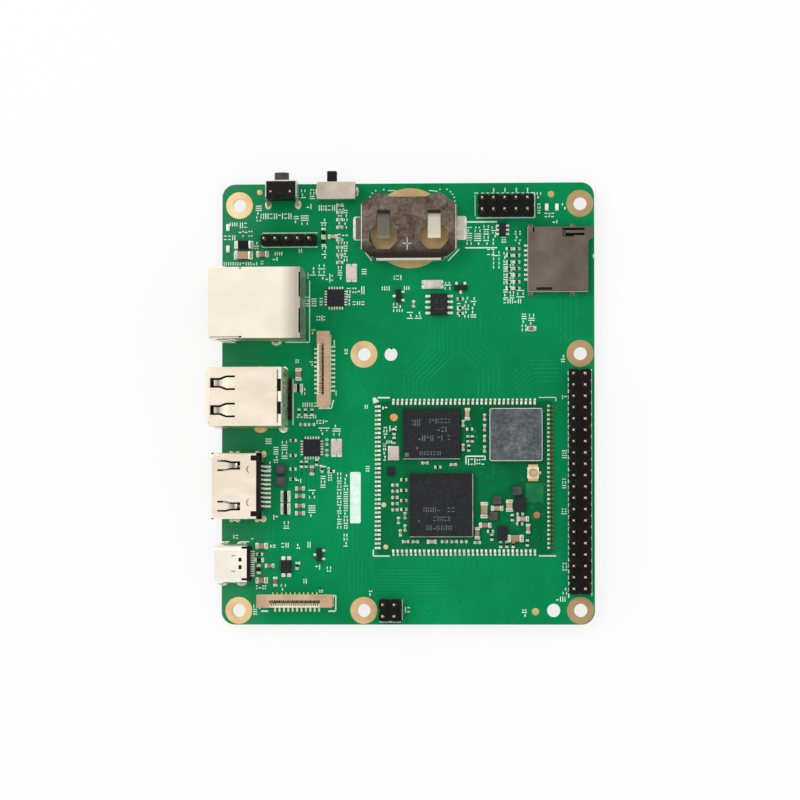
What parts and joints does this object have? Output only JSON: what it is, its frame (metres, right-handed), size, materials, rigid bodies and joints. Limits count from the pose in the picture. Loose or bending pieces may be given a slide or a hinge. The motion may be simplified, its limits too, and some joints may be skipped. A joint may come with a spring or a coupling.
{
  "type": "industrial computer board",
  "caption": "Green carrier board with a soldered compute module, edge sockets for network, host, video and power plugs, pin headers, a card socket and an empty coin cell clip.",
  "frame": {"origin": "centre of the four outer mounting holes, on the underside of the carrier board", "axes": "+Z out of the component side, +Y towards the board edge with the switches, +X towards the long pin header"},
  "size_m": [0.0867, 0.1027, 0.0186],
  "materials": {
    "board_green": "glossy lacquer over green laminate",
    "module_green": "glossy lacquer over green laminate",
    "gold_plate": "thin gold plating",
    "solder": "bright solder",
    "dark_steel": "plain rolled sheet with a warm grey tone",
    "chip_black": "fine matt moulding compound",
    "can_metal": "satin plated sheet",
    "pale_steel": "bright plated sheet",
    "cream_plastic": "moulded, satin",
    "tan_plastic": "moulded, satin",
    "black_plastic": "moulded, satin",
    "grey_plastic": "moulded, satin",
    "lamp_plastic": "clear moulding over a pale base",
    "tan_ceramic": "fired ceramic",
    "tin": "tin plating"
  },
  "bodies": {
    "board": {"carrier_board": "board_green", "mounting_rings": "gold_plate", "coin_cell_pad": "gold_plate", "coin_cell_clip": "dark_steel", "module_board": "module_green", "module_joints": "solder", "processor_chip": "chip_black", "memory_chip": "chip_black", "radio_chip": "chip_black", "shield_can": "can_metal", "antenna_socket_base": "cream_plastic", "antenna_socket_metal": "gold_plate", "network_shield": "pale_steel", "network_housing": "black_plastic", "network_wires": "gold_plate", "network_pins": "tin", "network_lamps": "lamp_plastic", "usb_shell": "pale_steel", "usb_housing": "black_plastic", "usb_contacts": "gold_plate", "video_shell": "pale_steel", "video_insulator": "black_plastic", "video_contacts": "tin", "power_shell": "pale_steel", "power_insulator": "black_plastic", "power_contacts": "tin", "reset_case": "black_plastic", "reset_bracket": "tin", "reset_dome": "tin", "reset_terminals": "tin", "slide_cover": "can_metal", "slide_base": "black_plastic", "slide_terminals": "tin", "card_shell": "dark_steel", "card_base": "black_plastic", "card_contacts": "gold_plate", "card_spring": "tin", "long_header_base": "black_plastic", "ten_way_base": "black_plastic", "five_way_base": "black_plastic", "four_way_base": "black_plastic", "long_header_pins": "gold_plate", "short_header_pins": "gold_plate", "side_ribbon_housing": "cream_plastic", "end_ribbon_housing": "cream_plastic", "ribbon_contacts": "tin", "chip_bodies": "chip_black", "chip_leads": "tin", "crystals": "can_metal", "capacitors": "tan_ceramic", "resistors": "black_plastic", "coils": "grey_plastic", "part_ends": "tin", "indicator_lamps": "lamp_plastic"},
    "reset_plunger": {"reset_plunger": "grey_plastic"},
    "slide_knob": {"slide_knob": "black_plastic"},
    "card_slider": {"card_slider": "grey_plastic"},
    "side_ribbon_lock": {"side_ribbon_lock": "tan_plastic"},
    "end_ribbon_lock": {"end_ribbon_lock": "tan_plastic"}
  },
  "joints": [
    {"name": "reset_press", "type": "slide", "parent": "board", "child": "reset_plunger", "axis": [0, -1, 0], "range_m": [0, 0.00025], "stiffness_N_per_m": 6000, "springref_m": -0.0001},
    {"name": "knob_slide", "type": "slide", "parent": "board", "child": "slide_knob", "axis": [1, 0, 0], "range_m": [0, 0.002]},
    {"name": "card_push", "type": "slide", "parent": "board", "child": "card_slider", "axis": [-1, 0, 0], "range_m": [0, 0.0014], "stiffness_N_per_m": 400, "springref_m": -0.001, "deforming": ["card_spring"]},
    {"name": "side_lock_lift", "type": "slide", "parent": "board", "child": "side_ribbon_lock", "axis": [0, 0, 1], "range_m": [0, 0.001]},
    {"name": "end_lock_lift", "type": "slide", "parent": "board", "child": "end_ribbon_lock", "axis": [0, 0, 1], "range_m": [0, 0.001]}
  ]
}
